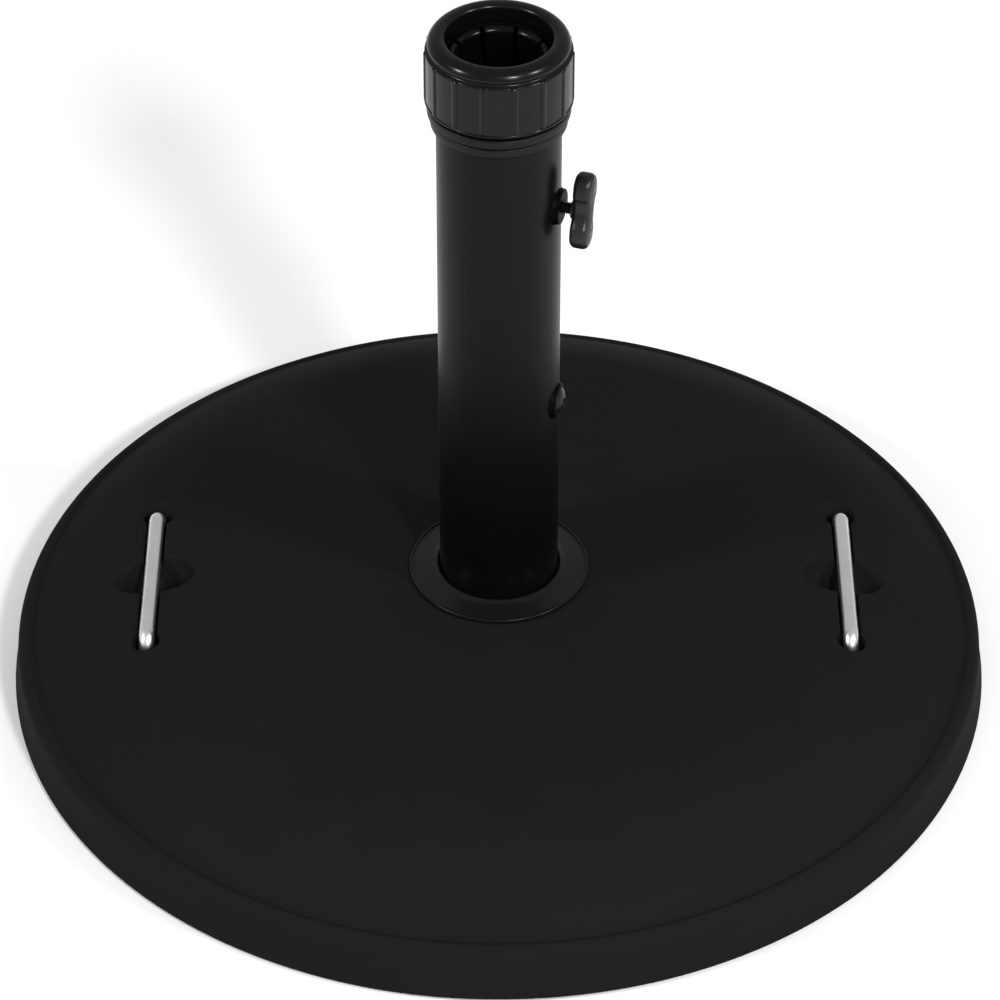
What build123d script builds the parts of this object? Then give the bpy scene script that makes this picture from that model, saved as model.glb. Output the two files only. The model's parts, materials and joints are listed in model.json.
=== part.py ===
from build123d import *
import math
import os

os.makedirs("parts", exist_ok=True)

# A free-standing parasol base in millimetres. +Z is up along the pole, +X is to the right of a
# person who faces the base, and the origin is on the floor, on the pole's axis.

# Weight: a plastic cover over cast ballast
disc_r = 250.0
skirt_z = 2.0
shoulder_r = 246.8
shoulder_z = 23.0
ridge_r = 244.4
ridge_z = 28.6
crease_r = 239.3
crease_z = 30.4
crease_lip = 1.3
plateau_r = 47.0
plateau_z = 62.5
dome_line = [(110, 61.8), (150, 60.4), (176, 57.7), (196, 53.2), (213, 46.0), (228, 37.8)]
dome_slope = -0.5
cover_wall = 3.0
ballast_gap = 0.2
cover_hole_r = 30.5

# Underside
pan_r = 245.6
pan_low = 3.0
pan_high = 6.0
foot_r = 15.0
foot_peg_r = 4.0
foot_chamfer = 0.8
foot_circle_r = 205.0
fixing_count = 6
screw_circle_r = 228.0
screw_r = 2.1
screw_head_r = 4.2
screw_top = 20.0
screw_plug_r = 4.0
screw_plug_top = 22.0
drain_r = 8.0

# Tube
tube_r = 30.0
tube_wall = 1.5
tube_low = 8.0
tube_high = 343.2
foot_plate = 110.0
foot_plate_thick = 4.0
bar_r = 4.0
bar_reach = 110.0
bar_z = 22.0
plug_r = 28.3
plug_high = 14.0
plug_drain_r = 4.0
guide_low = 80.0
guide_high = 100.0
guide_bore_r = 20.0

# Trim ring at the tube's foot
collar_r = 45.6
collar_bore_r = 30.6
collar_edge = 2.6
collar_edge_round = 0.6
collar_lip = 1.6
collar_rise = 4.6
collar_top_width = 1.6
collar_top_drop = 0.8

# Carrying handles: a rod with two legs that slide in sleeves
handle_x = 177.5
leg_y = 50.0
rod_r = 4.0
rod_z = 56.0
rod_bend = 7.5
leg_low = 8.5
groove_r = 5.2
pocket_r = 7.0
pocket_floor = 47.0
dish_r = 14.0
dish_z = 66.0
scoop_long = 21.5
scoop_round = 17.0
scoop_z = 59.5
leg_hole_r = 4.6
sleeve_r = 7.0
sleeve_bore_r = 6.6
sleeve_neck_r = 4.3
sleeve_low = 8.0
sleeve_neck_z = 38.5
stop_r = 6.2
stop_low = 9.0
stop_high = 13.0

# Clamp screw and second boss: their axis is turned this far from +X towards -Y
clamp_turn = 17.0
upper_z = 294.5
lower_z = 177.0
boss_r = 8.75
boss_spigot_r = 6.0
boss_out = 32.0
lower_boss_out = 31.4
boss_in = 25.6
boss_bore_r = 3.08
stud_r = 3.0
stud_in = 23.1
stud_out = 44.0
stud_peg_r = 1.8
stud_peg_in = 21.6
pad_r = 5.0
pad_in = 20.3
pad_out = 22.8
pad_bore_r = 2.2
pad_bore_in = 21.3
knob_in = 37.4
knob_hub_in = 36.6
knob_out = 47.0
knob_hub_r = 4.8
lobe_r = 7.2
lobe_reach = 12.0
waist_half = 4.9
waist_cut_r = 14.0
knob_tilt = -15.0
knob_round = 2.6
plug_head_r = 7.0
plug_head_out = 33.8
hex_r = 2.3
hex_depth = 1.4

# Head: bush, split collet and screw cap
bush_low = 338.0
bush_step_z = 343.9
bush_ring_r = 32.8
bush_collar_r = 34.3
bush_collar_z = 349.0
bush_thread_r = 31.9
bush_high = 368.0
bush_spigot_low = 316.0
bush_spigot_r = 28.3
bush_slot_r = 30.2
bush_bore_r = 21.5
pole_bore_r = 19.5
collet_low = 346.0
collet_low_r = 23.0
flange_low = 370.0
flange_low_r = 26.4
flange_high = 374.6
flange_r = 31.4
cone_gap = 0.4
lip_r = 24.9
lip_z = 375.0
lip_top_r = 22.4
lip_top_z = 377.0
slot_count = 8
slot_width = 2.6
slot_low = 352.0
slip_in_r = 25.6
slip_high = 376.2
cap_low = 351.0
cap_r = 35.0
cap_chamfer = 0.6
cap_shoulder_z = 378.0
cap_shoulder_round = 1.3
cap_thread_r = 32.3
cap_roof_z = 376.5
mouth_r = 25.3
mouth_z = 384.9
rim_crest = (26.3, 385.9)
rim_top = (28.4, 386.3)
rim_slope = (31.2, 385.5)
rim_edge = (33.3, 383.6)
rim_wide = (33.9, 381.9)
rim_foot = (33.2, 380.6)
rib_count = 15
rib_r = 1.3
rib_centre_r = 34.4
rib_top_z = 377.6

STAND = (Align.CENTER, Align.CENTER, Align.MIN)


def save(name, shape):
    export_step(shape, f"parts/{name}.step")


def rod(radius, low, high, x=0.0, y=0.0):
    """An upright round bar between two heights."""
    return Pos(x, y, low) * Cylinder(radius, high - low, align=STAND)


def ring(outer, inner, low, high, x=0.0, y=0.0):
    """An upright sleeve between two heights."""
    return rod(outer, low, high, x, y) - rod(inner, low - 1, high + 1, x, y)


def turned(lines):
    """A solid of revolution about Z from a closed run of lines in the XZ plane."""
    return revolve(make_face(lines), Axis.Z, 360)


def section(points):
    """A closed outline through (radius, height) corners."""
    return Polyline(*[(r, 0, z) for r, z in points], close=True)


def around(radius, count, start=0.0):
    """(x, y) places evenly round the pole's axis."""
    angles = [math.radians(start + 360 * k / count) for k in range(count)]
    return [(radius * math.cos(a), radius * math.sin(a)) for a in angles]


# ---------------------------------------------------------------- weight


def cover_form(inset):
    """The cover's outer form, moved in by inset."""
    dome_end = (crease_r - crease_lip - inset, 0, crease_z + crease_lip - inset)
    crease = (crease_r - inset, 0, crease_z - inset)
    ridge = (ridge_r - inset, 0, ridge_z - inset)
    shoulder = (shoulder_r - inset, 0, shoulder_z - inset)
    plateau = (plateau_r, 0, plateau_z - inset)
    crown = (0, 0, plateau_z - inset)
    dome_points = [(r, 0, z - inset) for r, z in dome_line]
    lines = Line(crown, plateau)
    lines += Spline(plateau, *dome_points, dome_end, tangents=[(1, 0, 0), (1, 0, dome_slope)])
    lines += Line(dome_end, crease)
    lines += ThreePointArc(crease, ridge, shoulder)
    floor_z = skirt_z - (1.0 if inset else 0.0)
    lines += Polyline(shoulder, (disc_r - inset, 0, floor_z), (0, 0, floor_z), crown)
    return turned(lines)


def ellipsoid(long, round_r):
    """An egg form about X."""
    arc = EllipticalCenterArc((0, 0), long, round_r, start_angle=0, arc_size=180)
    return revolve(make_face(arc + Line(arc @ 1, arc @ 0)), Axis.X, 360)


def handle_recess(side, grow):
    """The sunk form that one handle lies in, grown by the pocket's wall for its outside."""
    x = side * handle_x
    above = 20.0
    half = groove_r + grow
    form = Pos(x, 0, rod_z) * Rot(X=90) * Cylinder(half, 2 * leg_y)
    form += Pos(x, 0, rod_z) * Box(2 * half, 2 * leg_y, above, align=STAND)
    for y in (-leg_y, leg_y):
        form += rod(pocket_r + grow, pocket_floor - grow, rod_z + above, x, y)
    form += Pos(x, leg_y + 1, dish_z) * Sphere(dish_r + grow)
    form += Pos(x, 0, scoop_z) * ellipsoid(scoop_long + grow, scoop_round + grow)
    return form


def make_cover():
    """The shell with its handle pockets and the hole for the tube."""
    outer = cover_form(0)
    shell = outer - cover_form(cover_wall)
    for side in (-1, 1):
        shell += handle_recess(side, cover_wall) & outer
    for side in (-1, 1):
        shell -= handle_recess(side, 0)
        for y in (-leg_y, leg_y):
            shell -= rod(leg_hole_r, sleeve_neck_z, pocket_floor + 1, side * handle_x, y)
    return shell - rod(cover_hole_r, 0, plateau_z + 5)


def make_ballast():
    """The cast weight, which fills the shell round everything that is cast in."""
    gap = ballast_gap
    body = cover_form(cover_wall + gap) - rod(disc_r + 10, -10, pan_high)
    for side in (-1, 1):
        body -= handle_recess(side, cover_wall + gap)
        for y in (-leg_y, leg_y):
            body -= rod(sleeve_r + gap, 0, pocket_floor, side * handle_x, y)
    body -= rod(tube_r + gap, 0, plateau_z)
    body -= Pos(0, 0, tube_low - gap) * Box(
        foot_plate + 2 * gap, foot_plate + 2 * gap, foot_plate_thick + 2 * gap, align=STAND
    )
    body -= make_bars(gap)
    for x, y in around(screw_circle_r, fixing_count):
        body -= rod(screw_plug_r + gap, 0, screw_plug_top + gap, x, y)
    return body


def make_bars(grow):
    """Four bars that reach out from the tube into the ballast."""
    bar = Pos(0, 0, bar_z) * Rot(Y=90) * Cylinder(bar_r + grow, bar_reach + grow, align=STAND)
    bars = [Rot(Z=90 * k) * (bar - rod(tube_r, 0, 2 * bar_z)) for k in range(4)]
    return Compound(children=bars)


def make_pan():
    """The flat closing pan with its screw, foot and drain holes."""
    pan = rod(pan_r, pan_low, pan_high) - rod(drain_r, 0, pan_high + 1)
    for x, y in around(foot_circle_r, fixing_count, 30):
        pan -= rod(foot_peg_r, 0, pan_high + 1, x, y)
    sink = screw_head_r - screw_r
    for x, y in around(screw_circle_r, fixing_count):
        pan -= rod(screw_r, 0, pan_high + 1, x, y)
        pan -= Pos(x, y, pan_low) * Cone(screw_head_r, screw_r, sink, align=STAND)
    return pan


def make_feet():
    """Rubber pads with a peg through the pan."""
    edge = foot_r - foot_chamfer
    pad = section(
        [(0, 0), (edge, 0), (foot_r, foot_chamfer), (foot_r, pan_low), (foot_peg_r, pan_low),
         (foot_peg_r, pan_high), (0, pan_high)]
    )
    foot = turned(pad)
    return Compound(children=[Pos(x, y, 0) * foot for x, y in around(foot_circle_r, fixing_count, 30)])


def make_pan_screws():
    """Countersunk screws with a cross-shaped driver recess."""
    sink = screw_head_r - screw_r
    screw = Cone(screw_head_r, screw_r, sink, align=STAND)
    screw += rod(screw_r, sink, screw_top - pan_low)
    screw -= Box(0.9, 4.0, 1.4) + Box(4.0, 0.9, 1.4)
    return Compound(children=[Pos(x, y, pan_low) * screw for x, y in around(screw_circle_r, fixing_count)])


def make_screw_plugs():
    """Plastic plugs in the ballast that the pan's screws bite into."""
    plugs = []
    for x, y in around(screw_circle_r, fixing_count):
        plugs.append(rod(screw_plug_r, pan_high, screw_plug_top, x, y) - rod(screw_r, 0, screw_top, x, y))
    return Compound(children=plugs)


# ---------------------------------------------------------------- handles


def make_handle(side):
    """A bent rod with two legs."""
    x = side * handle_x
    path = FilletPolyline(
        (x, -leg_y, leg_low), (x, -leg_y, rod_z), (x, leg_y, rod_z), (x, leg_y, leg_low), radius=rod_bend
    )
    return sweep(Plane(origin=path @ 0, z_dir=path % 0) * Circle(rod_r), path=path)


def make_sleeves(side):
    """Two sleeves with a neck that the leg slides through and the stop cannot."""
    sleeves = []
    for y in (-leg_y, leg_y):
        high = pocket_floor - cover_wall
        body = rod(sleeve_r, sleeve_low, high, side * handle_x, y)
        body -= rod(sleeve_bore_r, sleeve_low - 1, sleeve_neck_z, side * handle_x, y)
        body -= rod(sleeve_neck_r, sleeve_low, high + 1, side * handle_x, y)
        sleeves.append(body)
    return Compound(children=sleeves)


def make_stops(side):
    """Two rings fixed on the legs' lower ends."""
    return Compound(
        children=[ring(stop_r, rod_r, stop_low, stop_high, side * handle_x, y) for y in (-leg_y, leg_y)]
    )


# ---------------------------------------------------------------- tube


def clamp_frame(z):
    """A frame on the pole's axis whose local Z points outward along a clamp screw."""
    turn = math.radians(clamp_turn)
    return Plane(origin=(0, 0, z), x_dir=(0, 0, 1), z_dir=(math.cos(turn), -math.sin(turn), 0))


def along(z, radius, inner, outer):
    """A round bar on a clamp axis between two distances from the pole's axis."""
    return clamp_frame(z) * Pos(0, 0, inner) * Cylinder(radius, outer - inner, align=STAND)


def make_tube():
    """The painted tube with a hole for each boss."""
    tube = ring(tube_r, tube_r - tube_wall, tube_low, tube_high)
    for z in (upper_z, lower_z):
        tube -= along(z, boss_spigot_r, 0, tube_r + 5)
    return tube


def make_boss(z, outer):
    """A saddle flange on the tube with a threaded spigot through its wall."""
    flange = along(z, boss_r, tube_r - 3, outer) - rod(tube_r, z - 2 * boss_r, z + 2 * boss_r)
    boss = flange + along(z, boss_spigot_r, boss_in, outer)
    return boss - along(z, boss_bore_r, boss_in - 1, outer + 1)


def make_plug_screw():
    """A domed screw with a hexagon socket that closes the lower boss."""
    dome_high = plug_head_out - lower_boss_out
    ball = (plug_head_r**2 + dome_high**2) / (2 * dome_high)
    head = Pos(0, 0, plug_head_out - ball) * Sphere(ball)
    head &= Pos(0, 0, lower_boss_out) * Cylinder(plug_head_r, dome_high, align=STAND)
    head -= Pos(0, 0, plug_head_out - hex_depth) * extrude(RegularPolygon(hex_r, 6), hex_depth + 1)
    shank = Pos(0, 0, boss_in) * Cylinder(stud_r, lower_boss_out - boss_in, align=STAND)
    return clamp_frame(lower_z) * (head + shank)


def make_pole_guide():
    """A ring with six fins that keeps the pole's foot in the middle."""
    guide = ring(plug_r, plug_r - 2, guide_low, guide_high)
    fins = ring(plug_r - 1, guide_bore_r, guide_low, guide_high)
    for k in range(6):
        guide += fins & Rot(Z=60 * k) * Pos(0, 0, guide_low) * Box(
            2 * plug_r, 4.0, guide_high - guide_low, align=(Align.MIN, Align.CENTER, Align.MIN)
        )
    return guide


def make_collar():
    """A loose ring with a thin raised lip and a slight cone up to the tube."""
    low = plateau_z
    edge_start = low + collar_edge - collar_edge_round
    lip_in = collar_r - collar_lip
    lines = Polyline(
        (collar_bore_r, 0, low),
        (collar_r - collar_edge_round, 0, low),
        (collar_r, 0, low + 1),
        (collar_r, 0, edge_start),
    )
    lines += ThreePointArc(
        (collar_r, 0, edge_start), (collar_r - collar_lip / 2, 0, low + collar_edge), (lip_in, 0, edge_start)
    )
    lines += Polyline(
        (lip_in, 0, edge_start),
        (collar_bore_r + collar_top_width, 0, low + collar_rise),
        (collar_bore_r, 0, low + collar_rise - collar_top_drop),
        (collar_bore_r, 0, low),
    )
    return turned(lines)


# ---------------------------------------------------------------- clamp screw


def make_stud():
    """The screw's shank with a small peg that carries the pad."""
    return along(upper_z, stud_r, stud_in, stud_out) + along(upper_z, stud_peg_r, stud_peg_in, stud_in)


def make_pad():
    """The pad that presses on the pole, hollowed to the pole's curve."""
    pad = along(upper_z, pad_r, pad_in - 1, pad_out) - rod(pad_in, upper_z - 10, upper_z + 10)
    return pad - along(upper_z, pad_bore_r, pad_bore_in, pad_out + 1)


def make_knob():
    """Two round wings with a narrower waist, on a short hub."""
    wings = Pos(0, lobe_reach) * Circle(lobe_r) + Pos(0, -lobe_reach) * Circle(lobe_r)
    wings += Rectangle(2 * lobe_r, 2 * lobe_reach)
    for side in (-1, 1):
        wings -= Pos(side * (waist_half + waist_cut_r), 0) * Circle(waist_cut_r)
    body = Pos(0, 0, knob_in) * extrude(Rot(Z=90 + knob_tilt) * wings, knob_out - knob_in)
    body = fillet(body.faces().filter_by(Axis.Z).edges(), knob_round)
    body += Pos(0, 0, knob_hub_in) * Cylinder(knob_hub_r, 2, align=STAND)
    body -= Pos(0, 0, knob_hub_in - 1) * Cylinder(stud_r, stud_out - knob_hub_in + 1, align=STAND)
    return clamp_frame(upper_z) * body


# ---------------------------------------------------------------- head


def cone_r(z):
    """Radius of the collet's outer cone at a height."""
    share = (z - collet_low) / (flange_low - collet_low)
    return collet_low_r + share * (flange_low_r - collet_low_r)


def make_bush():
    """The stepped bush: spigot in the tube, slot over its edge, thread and cone above."""
    ledge_z = collet_low - 0.6
    slot_roof = tube_high + 0.4
    chamfer = 0.5
    return turned(section([
        (bush_bore_r, bush_spigot_low),
        (bush_spigot_r, bush_spigot_low),
        (bush_spigot_r, slot_roof),
        (bush_slot_r, slot_roof),
        (bush_slot_r, bush_low),
        (bush_ring_r - chamfer, bush_low),
        (bush_ring_r, bush_low + chamfer),
        (bush_ring_r, bush_step_z),
        (bush_collar_r - chamfer, bush_step_z),
        (bush_collar_r, bush_step_z + chamfer),
        (bush_collar_r, bush_collar_z - chamfer),
        (bush_collar_r - chamfer, bush_collar_z),
        (bush_thread_r, bush_collar_z),
        (bush_thread_r, bush_high),
        (cone_r(bush_high) + cone_gap, bush_high),
        (cone_r(ledge_z) + cone_gap, ledge_z),
        (bush_bore_r, ledge_z),
    ]))


def make_collet():
    """The clamping insert: a cone with eight fingers, a flange and a rounded lip."""
    lines = Polyline(
        (pole_bore_r, 0, lip_z),
        (pole_bore_r, 0, collet_low),
        (collet_low_r, 0, collet_low),
        (flange_low_r, 0, flange_low),
        (flange_r, 0, flange_low),
        (flange_r, 0, flange_high),
        (lip_r, 0, flange_high),
        (lip_r, 0, lip_z),
    )
    lines += ThreePointArc((lip_r, 0, lip_z), (lip_top_r, 0, lip_top_z), (pole_bore_r, 0, lip_z))
    collet = turned(lines)
    slot = Pos(0, 0, slot_low) * Box(
        flange_r + 2, slot_width, lip_top_z, align=(Align.MIN, Align.CENTER, Align.MIN)
    )
    for k in range(slot_count):
        collet -= Rot(Z=360 * (k + 0.5) / slot_count) * slot
    return collet


def make_cap():
    """The screw cap: ribbed body, narrow neck line and a rounded rim round the mouth."""
    mouth = (mouth_r, 0, mouth_z)
    crest, top, slope, edge, wide, foot = [
        (r, 0, z) for r, z in (rim_crest, rim_top, rim_slope, rim_edge, rim_wide, rim_foot)
    ]
    shoulder = (cap_r, 0, cap_shoulder_z)
    shoulder_in = (cap_r - cap_shoulder_round, 0, cap_shoulder_z + cap_shoulder_round)
    half_way = cap_shoulder_round * math.sqrt(0.5)
    shoulder_mid = (shoulder_in[0] + half_way, 0, cap_shoulder_z + half_way)
    lines = Polyline(
        mouth,
        (mouth_r, 0, cap_roof_z),
        (cap_thread_r, 0, cap_roof_z),
        (cap_thread_r, 0, cap_low),
        (cap_r - cap_chamfer, 0, cap_low),
        (cap_r, 0, cap_low + cap_chamfer),
        shoulder,
    )
    lines += ThreePointArc(shoulder, shoulder_mid, shoulder_in)
    lines += Line(shoulder_in, foot)
    lines += ThreePointArc(foot, wide, edge)
    lines += ThreePointArc(edge, slope, top)
    lines += ThreePointArc(top, crest, mouth)
    cap = turned(lines)
    rib = rod(rib_r, cap_low + cap_chamfer, rib_top_z, rib_centre_r)
    rib += Pos(rib_centre_r, 0, rib_top_z) * Sphere(rib_r)
    rib -= rod(cap_thread_r + 1, cap_low - 1, rib_top_z + 2 * rib_r)
    for k in range(rib_count):
        cap += Rot(Z=-90 + 360 * (k + 0.5) / rib_count) * rib
    return cap


def main():
    save("weight_cover", make_cover())
    save("concrete_ballast", make_ballast())
    save("bottom_pan", make_pan())
    save("rubber_feet", make_feet())
    save("pan_screws", make_pan_screws())
    save("screw_plugs", make_screw_plugs())
    for name, side in (("left", -1), ("right", 1)):
        save(f"handle_{name}", make_handle(side))
        save(f"handle_stops_{name}", make_stops(side))
        save(f"guide_sleeves_{name}", make_sleeves(side))
    save("main_tube", make_tube())
    plate = Pos(0, 0, tube_low) * Box(foot_plate, foot_plate, foot_plate_thick, align=STAND)
    save("tube_foot_plate", plate - rod(tube_r, 0, 2 * tube_low))
    save("anchor_bars", make_bars(0))
    save("tube_plug", ring(plug_r, plug_drain_r, tube_low, plug_high))
    save("pole_guide", make_pole_guide())
    save("collar_ring", make_collar())
    save("upper_boss", make_boss(upper_z, boss_out))
    save("lower_boss", make_boss(lower_z, lower_boss_out))
    save("lower_plug_screw", make_plug_screw())
    save("clamp_stud", make_stud())
    save("pressure_pad", make_pad())
    save("wing_knob", make_knob())
    save("head_bush", make_bush())
    save("split_collet", make_collet())
    save("slip_ring", ring(flange_r, slip_in_r, flange_high, slip_high))
    save("screw_cap", make_cap())


main()
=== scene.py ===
import json
import math

import bpy
import numpy as np
from mathutils import Matrix, Vector, geometry


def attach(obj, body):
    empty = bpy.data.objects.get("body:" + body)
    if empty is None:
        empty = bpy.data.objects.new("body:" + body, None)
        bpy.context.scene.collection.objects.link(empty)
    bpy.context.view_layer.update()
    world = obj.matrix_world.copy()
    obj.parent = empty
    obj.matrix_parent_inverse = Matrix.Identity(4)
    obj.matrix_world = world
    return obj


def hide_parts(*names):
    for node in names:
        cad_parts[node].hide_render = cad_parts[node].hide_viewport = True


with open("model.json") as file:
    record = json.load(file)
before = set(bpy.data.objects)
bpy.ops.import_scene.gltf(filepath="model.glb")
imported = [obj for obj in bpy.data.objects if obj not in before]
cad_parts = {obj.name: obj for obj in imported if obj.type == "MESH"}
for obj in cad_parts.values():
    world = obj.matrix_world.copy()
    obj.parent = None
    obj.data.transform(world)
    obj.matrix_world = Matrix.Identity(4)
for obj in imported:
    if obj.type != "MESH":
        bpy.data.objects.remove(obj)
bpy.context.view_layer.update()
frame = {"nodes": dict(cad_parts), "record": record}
NODES = frame["nodes"]

# ---------------------------------------------------------------- driving sizes
# a size times MM is in metres, every other length is in millimetres

MM = 0.001
TAU = 2 * math.pi

# the cover's top as (radius, height), its slope at the rim, and where the lathed edge begins
DOME = [
    (47.0, 62.5), (110, 61.8), (150, 60.4), (176, 57.7), (196, 53.2), (213, 46.0), (228, 37.8), (238.0, 31.7),
]
DOME_SLOPE = -0.5
DOME_RINGS = 44
EDGE_START = 231.0
EDGE_SIDES = 192

# the flat middle round the tube, and its way down to the ballast
PLATEAU_R = 47.0 * MM
PLATEAU_SIDES = 96
PLATEAU_PROFILE = [(47.0, 62.5), (40.0, 62.5), (31.2, 62.5), (30.6, 62.2), (30.5, 61.5), (30.5, 56.0)]

# the handles: bent rods whose legs go down through holes in the cover
HANDLE_X = 177.5 * MM
LEG_Y = 50.0 * MM
LEG_LOW = 8.5 * MM
ROD_R = 4.0 * MM
ROD_Z = 56.0 * MM
ROD_BEND = 7.5 * MM
ROD_END_ROUND = 0.8 * MM
LEG_HOLE_R = 4.6 * MM
LEG_HOLE_SIDES = 40
SLEEVE_DEPTH = 3

# the recesses round each handle: groove, end pockets, a dish behind the rear leg and a finger scoop
GROOVE_R = 5.2 * MM
POCKET_R = 7.0 * MM
POCKET_Z = 47.0 * MM
DISH_R = 14.0 * MM
DISH_Z = 66.0 * MM
DISH_BEHIND_LEG = 1.0
SCOOP_LONG = 21.5 * MM
SCOOP_ROUND = 14.5 * MM
SCOOP_Z = 59.5 * MM

# how softly the recesses meet the cover's top
DISH_BLEND = 1.2
SCOOP_BLEND = 3.0
SCOOP_RIM_RISE = 12.0
TROUGH_LIP = 1.0
POCKET_LIP = 1.2

# the finely meshed patch round each handle, and the spacing of the coarser mesh round it
PATCH_HALF_X = 27.0
PATCH_LOW_Y = -63.0
PATCH_HIGH_Y = 70.0
PATCH_STEP = 0.6
PATCH_MARGIN = 1.5
POCKET_REACH = 14
RECESS_REACH = 23
COARSE_EVERY = 3
RING_GAP = 4
HOLE_GAP = 0.35

# the clamp screw and the plugged boss below it, both turned towards the front
CLAMP_TURN = math.radians(17)
CLAMP_Z = 294.5
PLUG_Z = 177.0
UPPER_BOSS_OUT = 32.0
LOWER_BOSS_OUT = 31.4
KNOB_TILT = math.radians(-15)
OUTWARD = Vector((math.cos(CLAMP_TURN), -math.sin(CLAMP_TURN), 0))


# ---------------------------------------------------------------- mesh helpers


def link(name, verts, faces, smooth_angle=35.0):
    """A mesh object from points and faces, smooth but for edges sharper than the angle."""
    mesh = bpy.data.meshes.new(name)
    mesh.from_pydata([tuple(v) for v in verts], [], faces)
    mesh.validate()
    mesh.update()
    mesh.shade_smooth()
    mesh.set_sharp_from_angle(angle=math.radians(smooth_angle))
    obj = bpy.data.objects.new(name, mesh)
    bpy.context.scene.collection.objects.link(obj)
    return obj


def rounded(points, radius, steps=4):
    """The run of (r, z) corners with each corner rounded; radius may be one number or one each."""
    out = []
    count = len(points)
    for k, point in enumerate(points):
        size = radius[k] if isinstance(radius, (list, tuple)) else radius
        here = Vector(point)
        if size <= 0:
            out.append(tuple(here))
            continue
        before = Vector(points[k - 1]) - here
        after = Vector(points[(k + 1) % count]) - here
        reach = min(size, before.length * 0.48, after.length * 0.48)
        start = here + before.normalized() * reach
        end = here + after.normalized() * reach
        for s in range(steps + 1):
            t = s / steps
            out.append(tuple(start * (1 - t) ** 2 + here * 2 * t * (1 - t) + end * t**2))
    return out


def round_angles(sides):
    """Evenly spaced angles of one turn."""
    return [TAU * k / sides for k in range(sides)]


def polar(r, a, z, unit=1.0):
    """A point from its distance to the axis, its angle and its height."""
    return (r * math.cos(a) * unit, r * math.sin(a) * unit, z * unit)


def ring(r, z, sides, unit=1.0):
    """Points of a level circle."""
    return [polar(r, a, z, unit) for a in round_angles(sides)]


def ring_faces(rows, sides, base=0, flip=False):
    """Quads between stacked rings of points, from point number base on; flip turns them over."""
    faces = []
    for j in range(rows - 1):
        for k in range(sides):
            a, b = base + j * sides + k, base + j * sides + (k + 1) % sides
            faces.append((a, a + sides, b + sides, b) if flip else (a, b, b + sides, a + sides))
    return faces


def turned(profile, sides, cx=0.0, cy=0.0):
    """Columns of points: one run of (r, z) in millimetres for each step round an axis."""
    points = []
    for a in round_angles(sides):
        c, s = math.cos(a), math.sin(a)
        points += [((cx + r * c) * MM, (cy + r * s) * MM, z * MM) for r, z in profile]
    return points


def turned_faces(columns, rows, base=0, closed=True, flip=False):
    """Quads between columns of points, from point number base on; closed joins each column's ends."""
    faces = []
    for k in range(columns):
        here, there = base + k * rows, base + (k + 1) % columns * rows
        for j in range(rows if closed else rows - 1):
            n = (j + 1) % rows
            quad = (here + j, there + j, there + n, here + n)
            faces.append((quad[0], quad[3], quad[2], quad[1]) if flip else quad)
    return faces


def lathe(name, profile, sides=128, smooth_angle=35.0):
    """A solid of revolution from a closed run of (r, z) in millimetres, anticlockwise."""
    return link(name, turned(profile, sides), turned_faces(sides, len(profile)), smooth_angle)


def arc(centre, radius, start, end, steps):
    """Points of a circular arc in the (r, z) plane, angles in degrees."""
    angles = [math.radians(start + (end - start) * k / steps) for k in range(steps + 1)]
    return [(centre[0] + radius * math.cos(a), centre[1] + radius * math.sin(a)) for a in angles]


def put(obj, body, slot, *nodes, look=None):
    """Gives a finished piece its body and its slot's material, and hides the CAD nodes it stands for."""
    obj.data.materials.clear()
    obj.data.materials.append(LOOKS[look or slot])
    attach(obj, body)
    if nodes:
        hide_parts(*nodes)


def clamp_matrix(z_mm):
    """A frame on the pole's axis with X up and Z outward along the clamp screw."""
    up = Vector((0, 0, 1))
    side = OUTWARD.cross(up)
    m = Matrix((up, side, OUTWARD)).transposed().to_4x4()
    m.translation = Vector((0, 0, z_mm * MM))
    return m


# ---------------------------------------------------------------- cover


def smooth_curve(points, end_slope):
    """A cubic spline through (x, y) points as a function of arrays, level at its start."""
    x = np.array([p[0] for p in points], float)
    y = np.array([p[1] for p in points], float)
    n = len(x)
    gaps = np.diff(x)
    matrix = np.zeros((n, n))
    right = np.zeros(n)
    matrix[0, 0], matrix[0, 1] = 2 * gaps[0], gaps[0]
    right[0] = 6 * ((y[1] - y[0]) / gaps[0])
    matrix[-1, -1], matrix[-1, -2] = 2 * gaps[-1], gaps[-1]
    right[-1] = 6 * (end_slope - (y[-1] - y[-2]) / gaps[-1])
    for k in range(1, n - 1):
        matrix[k, k - 1 : k + 2] = gaps[k - 1], 2 * (gaps[k - 1] + gaps[k]), gaps[k]
        right[k] = 6 * ((y[k + 1] - y[k]) / gaps[k] - (y[k] - y[k - 1]) / gaps[k - 1])
    bend = np.linalg.solve(matrix, right)

    def value(q):
        q = np.clip(q, x[0], x[-1])
        k = np.clip(np.searchsorted(x, q) - 1, 0, n - 2)
        t1, t0 = q - x[k], x[k + 1] - q
        gap = gaps[k]
        return (
            bend[k] * t0**3 / (6 * gap) + bend[k + 1] * t1**3 / (6 * gap)
            + (y[k] / gap - bend[k] * gap / 6) * t0 + (y[k + 1] / gap - bend[k + 1] * gap / 6) * t1
        )

    return value


dome_mm = smooth_curve(DOME, DOME_SLOPE)


def smooth_min(a, b, k):
    """The lower of two heights, with a rounded change between them."""
    h = np.clip(0.5 + 0.5 * (b - a) / k, 0, 1)
    return b * (1 - h) + a * h - k * h * (1 - h)


def wall(distance, inside, outside, width):
    """Steps from inside to outside across a steep wall with a rounded lip."""
    t = np.clip(distance / width + 0.5, 0, 1)
    lip = 1 - (1 - t) ** 2.2
    return inside + (outside - inside) * lip


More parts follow.
